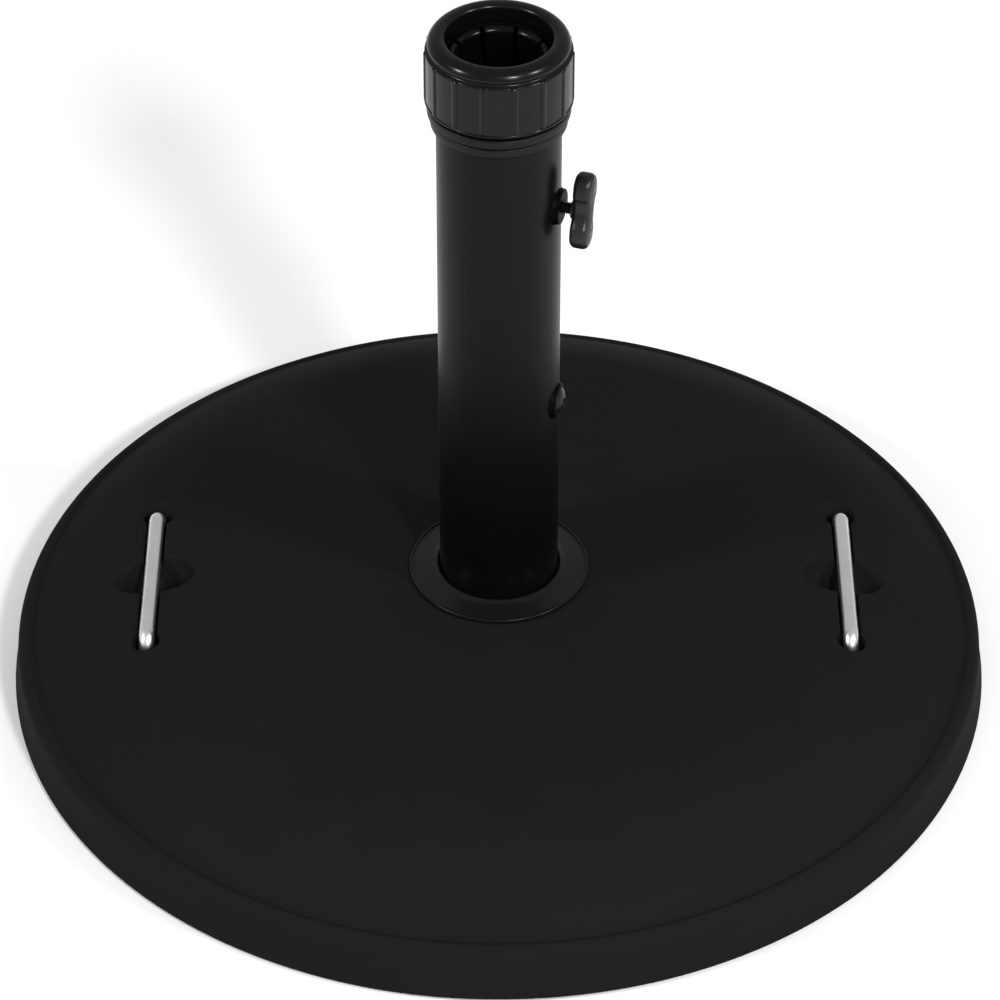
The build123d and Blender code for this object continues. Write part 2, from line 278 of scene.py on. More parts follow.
def cover_height(x, y):
    """Height of the cover's top at arrays of x, y, in millimetres."""
    z = dome_mm(np.hypot(x, y))
    for side in (-1, 1):
        dx = x - side * HANDLE_X / MM
        leg, rod = LEG_Y / MM, GROOVE_R / MM
        ball = (DISH_R / MM) ** 2 - dx**2 - (y - leg - DISH_BEHIND_LEG) ** 2
        dish = DISH_Z / MM - np.sqrt(np.maximum(ball, 0))
        z = smooth_min(z, dish, DISH_BLEND)
        egg = 1 - (dx / (SCOOP_LONG / MM)) ** 2 - (y / (SCOOP_ROUND / MM)) ** 2
        deep = SCOOP_ROUND / MM * np.sqrt(np.maximum(egg, 0))
        scoop = SCOOP_Z / MM - deep - SCOOP_RIM_RISE * np.minimum(egg, 0)
        z = smooth_min(z, scoop, SCOOP_BLEND)
        along = np.clip(y, -leg, leg)
        off = np.hypot(dx, y - along)
        trough = ROD_Z / MM - np.sqrt(np.maximum(rod**2 - np.minimum(off, rod * 0.98) ** 2, 0))
        z = np.minimum(z, wall(off - rod, np.minimum(trough, z), z, TROUGH_LIP))
        for end in (-leg, leg):
            d = np.hypot(dx, y - end) - POCKET_R / MM
            z = np.minimum(z, wall(d, np.minimum(POCKET_Z / MM, z), z, POCKET_LIP))
    return z


def cover_edge_profile():
    """(r, z) run from the dome's outer part over crease, ridge and skirt, and back inside."""
    run = [(r, float(dome_mm(np.array([r]))[0])) for r in np.linspace(EDGE_START, 236.8, 7)]
    groove = [(237.4, 31.75), (237.9, 31.3), (238.4, 30.75), (238.9, 30.3), (239.4, 30.05), (239.9, 30.05)]
    ridge = [(240.5, 30.3), (241.1, 30.58), (241.7, 30.66), (242.3, 30.55)]
    ridge += arc((239.9, 23.4), 7.35, 66, 2, 14)
    skirt = [(247.4, 21.5), (247.9, 16.0), (248.6, 10.5), (249.35, 6.0), (249.8, 3.8)]
    foot = arc((249.1, 2.75), 0.75, 0, -90, 4)
    inside = [(247.6, 2.0), (247.1, 2.4), (246.6, 4.0), (244.2, 22.0)]
    return run + groove + ridge + skirt + foot + inside


def ring_of_points(points, radius, steps, cx=0.0, cy=0.0):
    """Adds a ring of points and returns its edges."""
    start = len(points)
    points += [(cx + radius * math.cos(a), cy + radius * math.sin(a)) for a in round_angles(steps)]
    return [(start + k, start + (k + 1) % steps) for k in range(steps)]


def in_patch(x, y, margin):
    """Whether a point lies in or near the finely meshed patch round a handle."""
    inside = abs(abs(x) - HANDLE_X / MM) < PATCH_HALF_X + margin
    return inside and PATCH_LOW_Y - margin < y < PATCH_HIGH_Y + margin


def add_dome_points(points):
    """Staggered rings over the dome, but for the handles' patches."""
    for radius in np.linspace(PLATEAU_R / MM + RING_GAP, EDGE_START - RING_GAP, DOME_RINGS):
        for k in range(EDGE_SIDES):
            a = TAU * (k + 0.5 * (round(radius) % 2)) / EDGE_SIDES
            x, y = radius * math.cos(a), radius * math.sin(a)
            if not in_patch(x, y, PATCH_MARGIN):
                points.append((x, y))


def add_patch_points(points, side, holes):
    """A fine grid round one handle, thinned out where the cover is smooth."""
    for i in range(int(2 * PATCH_HALF_X / PATCH_STEP) + 1):
        for j in range(int((PATCH_HIGH_Y - PATCH_LOW_Y) / PATCH_STEP) + 1):
            x = side * HANDLE_X / MM - PATCH_HALF_X + PATCH_STEP * i
            y = PATCH_LOW_Y + PATCH_STEP * j
            near = min(math.hypot(x - cx, y - cy) for cx, cy in holes)
            if near > LEG_HOLE_R / MM + HOLE_GAP and math.hypot(x, y) < EDGE_START - 1.0:
                detailed = near < POCKET_REACH or abs(x - side * HANDLE_X / MM) < RECESS_REACH
                if detailed or i % COARSE_EVERY == j % COARSE_EVERY == 0:
                    points.append((x, y))


def cover_top(holes):
    """The cover's top between plateau and edge, as a fine triangle mesh."""
    points, loops = [], []
    loops += ring_of_points(points, EDGE_START, EDGE_SIDES)
    loops += ring_of_points(points, PLATEAU_R / MM, PLATEAU_SIDES)
    for centre in holes:
        loops += ring_of_points(points, LEG_HOLE_R / MM, LEG_HOLE_SIDES, *centre)
    add_dome_points(points)
    for side in (-1, 1):
        add_patch_points(points, side, holes)
    flat = geometry.delaunay_2d_cdt([Vector(p) for p in points], loops, [], 0, 1e-5)
    xy = np.array([tuple(v) for v in flat[0]])
    verts = [(x * MM, y * MM, z * MM) for (x, y), z in zip(xy, cover_height(xy[:, 0], xy[:, 1]))]
    faces = []
    for tri in flat[2]:
        cx, cy = xy[list(tri)].mean(0)
        in_hole = any(math.hypot(cx - hx, cy - hy) < LEG_HOLE_R / MM - 0.02 for hx, hy in holes)
        if PLATEAU_R / MM * 0.999 < math.hypot(cx, cy) < EDGE_START and not in_hole:
            faces.append(tuple(tri))
    return verts, faces


def add_turned_band(verts, faces, profile, sides, flip=False, centre=(0.0, 0.0)):
    """Adds an open lathed band to a mesh; flip turns its faces over."""
    faces += turned_faces(sides, len(profile), len(verts), closed=False, flip=flip)
    verts += turned(profile, sides, *centre)


def make_cover():
    """The cover: a fine patch round each handle, wide rings elsewhere, and a lathed edge."""
    holes = [(side * HANDLE_X / MM, end * LEG_Y / MM) for side in (-1, 1) for end in (-1, 1)]
    verts, faces = cover_top(holes)
    add_turned_band(verts, faces, cover_edge_profile(), EDGE_SIDES, flip=True)
    add_turned_band(verts, faces, PLATEAU_PROFILE, PLATEAU_SIDES)
    sleeve = [(LEG_HOLE_R / MM, POCKET_Z / MM), (LEG_HOLE_R / MM, POCKET_Z / MM - SLEEVE_DEPTH)]
    for centre in holes:
        add_turned_band(verts, faces, sleeve, LEG_HOLE_SIDES, centre=centre)
    obj = link("weight_cover_moulding", verts, faces, 50.0)
    weld = obj.modifiers.new("weld", "WELD")
    weld.merge_threshold = 0.02 * MM
    return obj


# ---------------------------------------------------------------- handles


def bar_along(name, path, radius, sides=32, end_round=ROD_END_ROUND, end_steps=4):
    """A round bar with rounded ends, along a run of points that share one x."""
    points = [Vector(p) for p in path]
    across = Vector((1, 0, 0))
    rings = []
    for k, point in enumerate(points):
        ahead = (points[min(k + 1, len(points) - 1)] - points[max(k - 1, 0)]).normalized()
        rings.append((point, ahead, radius))
    ends = []
    for step in range(1, end_steps + 1):
        a = step / end_steps * math.pi / 2
        ends.append((end_round * math.sin(a), radius - end_round * (1 - math.cos(a))))
    first, start_way, _ = rings[0]
    last, end_way, _ = rings[-1]
    head = [(first - start_way * far, start_way, r) for far, r in reversed(ends)]
    tail = [(last + end_way * far, end_way, r) for far, r in ends]
    rings = head + rings + tail
    verts = []
    for point, ahead, r in rings:
        up = ahead.cross(across).normalized()
        for a in round_angles(sides):
            verts.append(point + (across * math.cos(a) + up * math.sin(a)) * r)
    faces = ring_faces(len(rings), sides, flip=True)
    faces.append(tuple(range(sides)))
    last_ring = (len(rings) - 1) * sides
    faces.append(tuple(last_ring + k for k in reversed(range(sides))))
    return link(name, verts, faces, 50.0)


def make_handle(side):
    """Up one leg, over the bend, along, and down the other leg."""
    x, low, bend_z = side * HANDLE_X, LEG_LOW + ROD_END_ROUND, ROD_Z - ROD_BEND
    leg_steps, bend_steps, rod_steps = 8, 12, 12
    turns = [math.pi / 2 * k / bend_steps for k in range(1, bend_steps + 1)]
    path = [(x, -LEG_Y, z) for z in np.linspace(low, bend_z, leg_steps)]
    path += [(x, -LEG_Y + ROD_BEND * (1 - math.cos(a)), bend_z + ROD_BEND * math.sin(a)) for a in turns]
    path += [(x, y, ROD_Z) for y in np.linspace(-LEG_Y + ROD_BEND, LEG_Y - ROD_BEND, rod_steps)[1:]]
    path += [(x, LEG_Y - ROD_BEND * (1 - math.sin(a)), ROD_Z - ROD_BEND * (1 - math.cos(a))) for a in turns]
    path += [(x, LEG_Y, z) for z in np.linspace(bend_z, low, leg_steps)[1:]]
    return bar_along(f"handle_rod_{'left' if side < 0 else 'right'}", path, ROD_R)


# ---------------------------------------------------------------- tube, collar and bosses


def make_tube():
    """The painted tube with small rolled edges."""
    outline = [(30.0, 8.0), (30.0, 343.2), (28.5, 343.2), (28.5, 8.0)]
    return lathe("pole_tube", rounded(outline, 0.4, 3), 160)


def make_collar():
    """The trim ring: flat lip, thin raised edge and a shallow cone up to the tube."""
    profile = [(30.6, 62.55), (44.8, 62.55), (45.35, 62.75)]
    profile += arc((45.0, 64.5), 0.58, 0, 180, 8)
    profile += [(44.2, 64.25), (43.5, 64.2), (42.4, 64.32), (38.4, 65.05), (35.2, 65.7), (33.0, 66.25)]
    profile += arc((31.6, 66.05), 1.0, 60, 180, 7)
    return lathe("foot_collar", profile, 160, smooth_angle=40)


def make_boss(name, z_mm, out_mm):
    """A round saddle flange with a soft edge and a small weld fillet where it meets the tube."""
    r = 8.75
    profile = [(0.0, 26.0), (r + 0.9, 26.0), (r + 0.7, 29.2), (r + 0.15, 30.2), (r, 30.9)]
    profile += arc((r - 0.55, out_mm - 0.55), 0.55, 0, 90, 5)
    profile += [(3.6, out_mm), (3.25, out_mm - 0.25), (3.1, out_mm - 0.6), (3.1, 27.0), (0.0, 27.0)]
    obj = lathe(name, profile, 96)
    obj.data.transform(clamp_matrix(z_mm))
    return obj


def make_plug_screw():
    """A domed screw head with a hexagon socket."""
    sides, hex_r, deep, rings = 96, 2.3, 1.4, 14
    head_r, low, high, shank_r, shank_low = 7.0, 31.4, 33.8, 2.9, 25.8
    ball = (head_r**2 + (high - low) ** 2) / (2 * (high - low))

    def hexagon(a):
        return hex_r * math.cos(math.pi / 6) / math.cos((a % (math.pi / 3)) - math.pi / 6)

    socket = [(0.0, -deep - 0.3), (0.94, -deep), (1.0, -deep + 0.1), (1.0, -0.12), (1.04, -0.02)]
    verts = []
    for scale, drop in socket:
        verts += [polar(hexagon(a) * scale, a, high + drop) for a in round_angles(sides)]
    for j in range(1, rings + 1):
        t = j / rings
        for a in round_angles(sides):
            r = hexagon(a) * 1.04 * (1 - t) + (head_r - 0.25) * t
            verts.append(polar(r, a, high - ball + math.sqrt(ball**2 - r**2)))
    edge = [(head_r - 0.06, low + 0.22), (head_r, low + 0.1), (head_r, low - 0.3)]
    for r, z in edge + [(shank_r, low - 0.3), (shank_r, shank_low)]:
        verts += ring(r, z, sides)
    faces = ring_faces(len(verts) // sides, sides, flip=True)
    obj = link("boss_plug_screw", [Vector(v) * MM for v in verts], faces, 40)
    obj.data.transform(clamp_matrix(PLUG_Z))
    return obj


# ---------------------------------------------------------------- clamp screw


def make_stud():
    """The M6 screw with its real helical thread, and the peg that holds the pad."""
    pitch, outer, root, sides, rows_per_turn = 1.0, 2.98, 2.42, 48, 12
    low, high = 23.3, 43.8
    rows = int((high - low) / pitch * rows_per_turn)
    verts = []
    for r, z in ((0.0, 21.7), (1.6, 21.7), (1.8, 21.9), (1.8, 23.1), (2.3, 23.15)):
        verts += ring(r, z, sides)
    for j in range(rows + 1):
        z = low + (high - low) * j / rows
        for k in range(sides):
            phase = (z / pitch - k / sides) % 1.0
            saw = abs(2 * phase - 1)
            crest = min(1.0, max(0.0, (saw - 0.12) / 0.76))
            verts.append(polar(root + (outer - root) * crest, TAU * k / sides, z))
    verts += ring(0.0, high, sides)
    faces = ring_faces(len(verts) // sides, sides)
    obj = link("clamp_screw", [Vector(v) * MM for v in verts], faces, 30)
    obj.data.transform(clamp_matrix(CLAMP_Z))
    return obj


def knob_outline(count=160):
    """The wings' outline: two round lobes joined by a hollowed waist."""
    lobe, reach, waist, cut = 7.2, 12.0, 4.9, 14.0
    # where the waist's arc meets the straight side of the wings
    half = math.sqrt(cut**2 - (waist + cut - lobe) ** 2)
    arc_len = cut * math.asin(half / cut)
    straight = max(reach - half, 0)
    total = arc_len + straight + lobe * math.pi / 2
    quarter = count // 4
    # the quarter from the waist up to the lobe's top, which is then mirrored
    points = []
    for k in range(quarter + 1):
        s = total * k / quarter
        if s <= arc_len:
            a = s / cut
            points.append((waist + cut - cut * math.cos(a), cut * math.sin(a)))
        elif s <= arc_len + straight:
            points.append((lobe, half + s - arc_len))
        else:
            a = (s - arc_len - straight) / lobe
            points.append((lobe * math.cos(a), reach + lobe * math.sin(a)))
    up_left = [(-x, y) for x, y in reversed(points[:-1])]
    down_left = [(-x, -y) for x, y in points[1:]]
    down_right = [(x, -y) for x, y in reversed(points[1:-1])]
    return [Vector(p) for p in points + up_left + down_left + down_right]


def inset_outline(outline, amount):
    """The outline moved in along its normals."""
    out = []
    count = len(outline)
    for k, p in enumerate(outline):
        t = (outline[(k + 1) % count] - outline[k - 1]).normalized()
        out.append(p + Vector((-t.y, t.x)) * amount)
    return out


def make_knob():
    """The wings of the knob: soft edges, a flat back and a slightly crowned front."""
    low, high, soft, crown, crown_width = 37.4, 47.0, 2.9, 0.45, 1.75
    round_steps, crown_steps = 8, 4
    turns = [math.pi / 2 * k / round_steps for k in range(round_steps + 1)]
    rows = [(soft * (1 - math.sin(a)), low + soft * (1 - math.cos(a))) for a in turns]
    rows.append((0.0, (low + high) / 2))
    rows += [(soft * (1 - math.cos(a)), high - crown - soft + soft * math.sin(a)) for a in turns]
    for k in range(1, crown_steps + 1):
        t = k / crown_steps
        rows.append((soft + crown_width * t, high - crown + crown * (1 - (1 - t) ** 2)))
    outline = knob_outline()
    verts = []
    for inset, z in rows:
        verts += [Vector((p.x, p.y, z)) for p in inset_outline(outline, inset)]
    n = len(outline)
    faces = ring_faces(len(rows), n)
    top, quarter = (len(rows) - 1) * n, n // 4
    for k in range(-quarter, quarter):
        # a strip across the wings, on the front face and on the back
        a, b = k % n, (k + 1) % n
        c, d = (n // 2 - k - 1) % n, (n // 2 - k) % n
        for strip in ((top + a, top + b, top + c, top + d), (d, c, b, a)):
            corners = tuple(dict.fromkeys(strip))
            if len(corners) > 2:
                faces.append(corners)
    obj = link("wing_knob_moulding", [v * MM for v in verts], faces, 60)
    turn = Matrix.Rotation(math.radians(-90) + KNOB_TILT, 4, "Z")
    obj.data.transform(clamp_matrix(CLAMP_Z) @ turn)
    return obj


def make_knob_hub():
    """The hub under the wings, with a rounded shoulder."""
    profile = [(3.02, 36.75), (4.3, 36.65)] + arc((4.3, 37.15), 0.5, -90, 0, 4)
    profile += [(4.85, 37.9), (5.3, 38.4), (3.02, 38.6)]
    obj = lathe("wing_knob_hub", profile, 64)
    obj.data.transform(clamp_matrix(CLAMP_Z))
    return obj


# ---------------------------------------------------------------- head


def make_bush():
    """The stepped bush seen under the cap."""
    outline = [
        (21.5, 316), (28.3, 316), (28.3, 343.4), (30.15, 343.4), (30.15, 338.0), (32.8, 338.0),
        (32.8, 342.7), (31.5, 343.1), (31.5, 344.0), (34.3, 344.0), (34.3, 349.0), (31.9, 349.0),
        (31.9, 368.0), (26.5, 368.0), (23.3, 345.4), (21.5, 345.4),
    ]
    radii = [0.3, 0.3, 0, 0, 0.3, 1.5, 1.0, 0.1, 0.1, 1.5, 1.0, 0.4, 0.5, 0.5, 0.2, 0.3]
    return lathe("tube_head_bush", rounded(outline, radii, 4), 144)


def make_collet():
    """Eight clamping fingers with a rounded lip on an unbroken base ring."""
    outline = [(19.5, 352.0), (23.85, 352.0), (26.4, 370.0), (31.4, 370.0), (31.4, 374.6), (24.9, 374.6)]
    section = rounded(outline, [0.0, 0.0, 0.6, 0.4, 0.4, 0.3], 3)
    section += [(24.85, 375.2), (24.55, 376.0), (24.0, 376.6), (23.2, 376.95), (22.4, 377.0), (21.5, 376.8)]
    section += [(20.7, 376.3), (20.05, 375.5), (19.65, 374.6), (19.5, 373.5), (19.5, 364.0)]
    verts, faces = [], []
    fingers, steps, slot_half, bore_r, edge_tuck = 8, 16, 1.3, 20.0, 0.075
    n = len(section)
    for finger in range(fingers):
        centre = TAU * finger / fingers
        base = len(verts)
        for k in range(steps + 1):
            for r, z in section:
                half = math.pi / fingers - math.asin(slot_half / r)
                a = centre + half * (2 * k / steps - 1)
                if k in (0, steps) and r > bore_r:
                    r -= edge_tuck
                verts.append(polar(r, a, z, MM))
        faces += ring_faces(steps + 1, n, base, flip=True)
        faces.append(tuple(base + j for j in range(n)))
        faces.append(tuple(base + steps * n + j for j in reversed(range(n))))
    base_ring, sides = [(19.5, 346.0), (23.0, 346.0), (23.85, 352.0), (19.5, 352.0)], 128
    faces += turned_faces(sides, len(base_ring), len(verts))
    verts += turned(base_ring, sides)
    return link("clamping_collet", verts, faces, 40)


def cap_profile():
    """The cap's section, anticlockwise from the inner bottom edge."""
    run = [(32.3, 351.2), (32.5, 351.0), (34.3, 351.0)]
    run += arc((34.5, 351.95), 0.95, -75, 60, 8)
    run += [(35.06, 353.1)] + [(35.0, z) for z in np.linspace(353.8, 377.6, 20)]
    run += arc((33.7, 378.0), 1.3, 0, 75, 7)
    run += [(33.72, 379.5), (33.42, 379.75), (33.2, 380.1), (33.2, 380.5), (33.4, 380.85)]
    run += arc((31.9, 382.0), 2.0, -30, 24, 6)
    crest_r, crest_z, crest_wide, crest_high = 28.4, 381.6, 5.4, 4.7
    for a in np.radians(np.linspace(22, 90, 12)):
        run.append((crest_r + crest_wide * math.cos(a), crest_z + crest_high * math.sin(a)))
    run += [(27.4, 386.22), (26.6, 385.98), (25.98, 385.58), (25.55, 385.05), (25.35, 384.45)]
    run += [(25.3, 383.5), (25.3, 381.0), (25.3, 377.0)]
    run += rounded([(25.3, 376.5), (32.3, 376.5)], [0.2, 0.2], 2)
    return run


def make_cap():
    """The screw cap: fifteen rounded ribs on its side and a soft rim."""
    ribs, body_r, rib_half, rib_high = 15, 35.0, 1.7, 0.65
    rib_low_z, rib_high_z, low_run, high_run = 352.6, 379.1, 1.0, 1.5
    # degrees from a rib's middle, close together over the rib itself
    offsets = [-12, -10, -8, -6, -4.6, -3.6, -3.0, -2.6, -2.2, -1.8, -1.3, -0.7, 0]
    offsets += [-a for a in reversed(offsets[1:-1])]
    profile = cap_profile()
    angles = [(-90 + 360 / ribs * (k + 0.5) + o, o) for k in range(ribs) for o in offsets]
    verts = []
    for degrees, offset in angles:
        a = math.radians(degrees)
        across = math.radians(offset) * body_r / rib_half
        for r, z in profile:
            grow = 0.0
            if r > 33.9 and rib_low_z < z < rib_high_z:
                end = min(1.0, (rib_high_z - z) / high_run) * min(1.0, (z - rib_low_z) / low_run)
                rounded_end = math.sqrt(max(0.0, 1 - (1 - end) ** 2))
                grow = rib_high * max(0.0, 1 - across**4) * rounded_end
            verts.append(polar(r + grow, a, z, MM))
    return link("ribbed_screw_cap", verts, turned_faces(len(angles), len(profile)), 42)


# ---------------------------------------------------------------- underside


def make_pan():
    """The closing pan with low radial and ring-shaped stiffening ribs."""
    sides, spokes, spoke_half, ring_half = 240, 12, 1.6, 1.45
    rib_z, plate_z, top_z, hole_r, outer_r = 2.3, 3.0, 6.0, 8.0, 245.5
    ribs = (40.6, 120.6, 190.6)
    radii = [hole_r, 9.0, 20, 60, 90, 150, 180, 215, 240, 245.0, outer_r]
    radii = sorted(radii + [rib + step for rib in ribs for step in (-2.6, -1.4, 1.4, 2.6)])
    verts = []
    for r in radii:
        for a in round_angles(sides):
            near = abs(((a / TAU * spokes + 0.5) % 1.0) - 0.5) / spokes * TAU * r
            on_ring = any(abs(r - c) < ring_half for c in ribs)
            on_spoke = 44 < r < 240 and near < spoke_half
            z = rib_z if on_ring or on_spoke else plate_z
            verts.append(polar(r, a, z, MM))
    faces = ring_faces(len(radii), sides)
    top, outer = len(verts), (len(radii) - 1) * sides
    for r in (outer_r, hole_r):
        verts += ring(r, top_z, sides, MM)
    for k in range(sides):
        n = (k + 1) % sides
        faces.append((outer + k, outer + n, top + n, top + k))
        faces.append((top + k, top + n, top + sides + n, top + sides + k))
        faces.append((top + sides + k, top + sides + n, n, k))
    return link("underside_pan", verts, faces, 30)


def make_feet():
    """Six rubber feet with a rounded edge and two shallow tread rings."""
    profile = [(0.0, 0.35), (4.0, 0.35), (4.5, 0.0), (7.5, 0.0), (8.0, 0.45), (9.0, 0.45), (9.5, 0.0)]
    profile += [(14.0, 0.0)] + arc((14.2, 0.8), 0.8, -80, 0, 4) + [(15.0, 2.9), (0.0, 2.9)]
    feet, sides, circle_r, first_angle = 6, 48, 205, math.radians(30)
    verts, faces = [], []
    for k in range(feet):
        a = first_angle + TAU * k / feet
        centre = (circle_r * math.cos(a), circle_r * math.sin(a))
        add_turned_band(verts, faces, profile, sides, centre=centre)
    return link("tread_feet", verts, faces, 35)


# ---------------------------------------------------------------- materials


class Nodes:
    """A small helper that builds one principled material."""

    def __init__(self, name):
        self.material = bpy.data.materials.new(name)
        self.material.use_nodes = True
        self.tree = self.material.node_tree
        self.tree.nodes.clear()
        out = self.tree.nodes.new("ShaderNodeOutputMaterial")
        self.shader = self.tree.nodes.new("ShaderNodeBsdfPrincipled")
        self.join(self.shader.outputs[0], out.inputs["Surface"])
        self.where = self.tree.nodes.new("ShaderNodeTexCoord").outputs["Object"]

    def join(self, a, b):
        self.tree.links.new(a, b)

    def set(self, **values):
        for key, value in values.items():
            self.shader.inputs[key.replace("_", " ")].default_value = value

    def noise(self, scale, detail=3.0, rough=0.5, stretch=None):
        node = self.tree.nodes.new("ShaderNodeTexNoise")
        node.inputs["Scale"].default_value = scale
        node.inputs["Detail"].default_value = detail
        node.inputs["Roughness"].default_value = rough
        source = self.where
        if stretch:
            mapping = self.tree.nodes.new("ShaderNodeMapping")
            mapping.inputs["Scale"].default_value = stretch
            self.join(self.where, mapping.inputs["Vector"])
            source = mapping.outputs[0]
        self.join(source, node.inputs["Vector"])
        return node.outputs["Fac"]

    def cells(self, scale):
        node = self.tree.nodes.new("ShaderNodeTexVoronoi")
        node.inputs["Scale"].default_value = scale
        self.join(self.where, node.inputs["Vector"])
        return node.outputs["Distance"]

    def spread(self, source, low, high, to_low, to_high):
        """The source with its range from low to high stretched to the new one."""
        node = self.tree.nodes.new("ShaderNodeMapRange")
        for key, value in zip(("From Min", "From Max", "To Min", "To Max"), (low, high, to_low, to_high)):
            node.inputs[key].default_value = value
        self.join(source, node.inputs["Value"])
        return node.outputs[0]

    def colours(self, source, stops):
        """The source turned into a colour between the stops."""
        node = self.tree.nodes.new("ShaderNodeValToRGB")
        ramp = node.color_ramp
        while len(ramp.elements) < len(stops):
            ramp.elements.new(0.5)
        for element, (place, colour) in zip(ramp.elements, stops):
            element.position = place
            element.color = (*colour, 1)
        self.join(source, node.inputs["Fac"])
        return node.outputs["Color"]

    def add(self, a, b, amount=1.0):
        """a plus an amount of b."""
        node = self.tree.nodes.new("ShaderNodeMath")
        node.operation = "MULTIPLY_ADD"
        self.join(b, node.inputs[0])
        node.inputs[1].default_value = amount
        self.join(a, node.inputs[2])
        return node.outputs[0]

    def bump(self, height, strength, distance):
        node = self.tree.nodes.new("ShaderNodeBump")
        node.inputs["Strength"].default_value = strength
        node.inputs["Distance"].default_value = distance
        self.join(height, node.inputs["Height"])
        self.join(node.outputs[0], self.shader.inputs["Normal"])


def grey(value):
    return (value, value, value)


def moulded(name, shade, rough, grain_mm, strength, level, spread):
    """Moulded plastic: fine pebble grain, faint flow mottling and small gloss changes."""
    n = Nodes(name)
    mottling = n.noise(24, 4, 0.6)
    fine = n.noise(1 / (grain_mm * MM) * 0.35, 2, 0.5)
    tint = n.colours(mottling, [(0.3, grey(shade * (1 - spread))), (0.7, grey(shade * (1 + spread)))])
    n.join(tint, n.shader.inputs["Base Color"])
    gloss = n.add(n.spread(mottling, 0.3, 0.7, rough - 0.04, rough + 0.04), fine, 0.06)
    n.join(gloss, n.shader.inputs["Roughness"])
    n.set(Specular_IOR_Level=level)
    pebble = n.add(n.cells(1 / (grain_mm * MM)), fine, 0.6)
    n.bump(pebble, strength, 0.06 * MM)
    return n.material


def painted(name, shade, rough, level):
    """Baked powder paint on steel: a faint orange peel and tiny dust specks."""
    n = Nodes(name)
    peel = n.noise(900, 2, 0.45)
    cloud = n.noise(14, 4, 0.55)
    tint = n.colours(cloud, [(0.3, grey(shade * 0.85)), (0.7, grey(shade * 1.15))])
    n.join(tint, n.shader.inputs["Base Color"])
    n.join(n.spread(cloud, 0.3, 0.7, rough - 0.03, rough + 0.05), n.shader.inputs["Roughness"])
    n.set(Specular_IOR_Level=level)
    n.bump(n.add(peel, n.noise(3200, 1, 0.5), 0.35), 0.25, 0.05 * MM)
    return n.material


def bright_steel(name, shade, rough, along):
    """Satin drawn steel: long fine lines along the rod and faint clouding."""
    n = Nodes(name)
    lines = n.noise(1, 3, 0.6, stretch=along)
    cloud = n.noise(60, 3, 0.5)
    tint = n.colours(cloud, [(0.3, grey(shade * 0.93)), (0.7, grey(min(1, shade * 1.05)))])
    n.join(tint, n.shader.inputs["Base Color"])
    n.join(n.spread(lines, 0.3, 0.7, rough - 0.06, rough + 0.08), n.shader.inputs["Roughness"])
    n.set(Metallic=1.0)
    n.bump(lines, 0.2, 0.03 * MM)
    return n.material


def rough_cast(name, low, high):
    """Concrete or cast iron: coarse grains and pits."""
    n = Nodes(name)
    grain = n.noise(180, 8, 0.7)
    n.join(n.colours(grain, [(0.3, low), (0.7, high)]), n.shader.inputs["Base Color"])
    n.join(n.spread(grain, 0.2, 0.8, 0.75, 0.95), n.shader.inputs["Roughness"])
    n.bump(n.add(grain, n.cells(260), 0.4), 0.8, 0.6 * MM)
    return n.material


# moulded plastics and rubber: shade, roughness, grain in millimetres, bump, gloss level, mottling
MOULDED = {
    "cover_plastic": (0.0085, 0.68, 0.9, 0.14, 0.02, 0.04),
    "pan_plastic": (0.012, 0.6, 1.2, 0.25, 0.2, 0.25),
    "collar_plastic": (0.005, 0.24, 0.8, 0.05, 0.17, 0.08),
    "cap_plastic": (0.0024, 0.2, 0.7, 0.05, 0.18, 0.1),
    # the collet's look: the cap's plastic made darker and less glossy, painted shade for the inside of the
    # cap's mouth
    "collet_plastic": (0.0015, 0.2, 0.7, 0.04, 0.12, 0.1),
    "knob_plastic": (0.0065, 0.34, 0.6, 0.08, 0.32, 0.12),
    "inner_plastic": (0.004, 0.4, 0.8, 0.1, 0.16, 0.1),
    "plug_plastic": (0.2, 0.55, 1.0, 0.2, 0.4, 0.25),
    "ring_plastic": (0.003, 0.5, 0.8, 0.1, 0.1, 0.1),
    "foot_rubber": (0.02, 0.75, 0.5, 0.4, 0.3, 0.25),
}
# painted steel: shade, roughness, gloss level
PAINTED = {
    "tube_paint": (0.0022, 0.3, 0.105),
    "boss_paint": (0.0012, 0.45, 0.03),
    "screw_black": (0.003, 0.3, 0.2),
}
# bright steel: shade, roughness, fineness of its lines along x, y and z
BRIGHT = {
    "zinc_steel": (0.55, 0.32, (900, 900, 900)),
    "handle_steel": (0.8, 0.3, (4200, 160, 4200)),
}
# cast surfaces: darkest and lightest colour
CAST = {
    "ballast": ((0.32, 0.31, 0.29), (0.5, 0.49, 0.46)),
    "rebar_steel": ((0.06, 0.05, 0.045), (0.14, 0.11, 0.09)),
}


def make_looks():
    """Every material by name."""
    kinds = ((moulded, MOULDED), (painted, PAINTED), (bright_steel, BRIGHT), (rough_cast, CAST))
    return {name: make(name, *look) for make, looks in kinds for name, look in looks.items()}


LOOKS = make_looks()


def dress_cad_nodes():
    """Every CAD node that still shows gets its slot's material."""
    for part in frame["record"]["subparts"]:
        node = NODES[part["node"]]
        node.data.materials.clear()
        node.data.materials.append(LOOKS[part["material_slot"]])


# ---------------------------------------------------------------- stage


def make_floor():
    """A wide pale floor."""
    mesh = bpy.data.meshes.new("floor")
    half = 12.0
    corners = [(-half, -half, 0), (half, -half, 0), (half, half, 0), (-half, half, 0)]
    mesh.from_pydata(corners, [], [(0, 1, 2, 3)])
    floor = bpy.data.objects.new("floor", mesh)
    bpy.context.scene.collection.objects.link(floor)
    n = Nodes("floor_paint")
    cloud = n.noise(3, 2, 0.5)
    n.join(n.colours(cloud, [(0.3, grey(0.9)), (0.7, grey(0.93))]), n.shader.inputs["Base Color"])
    n.set(Roughness=0.9, Specular_IOR_Level=0.0)
    mesh.materials.append(n.material)


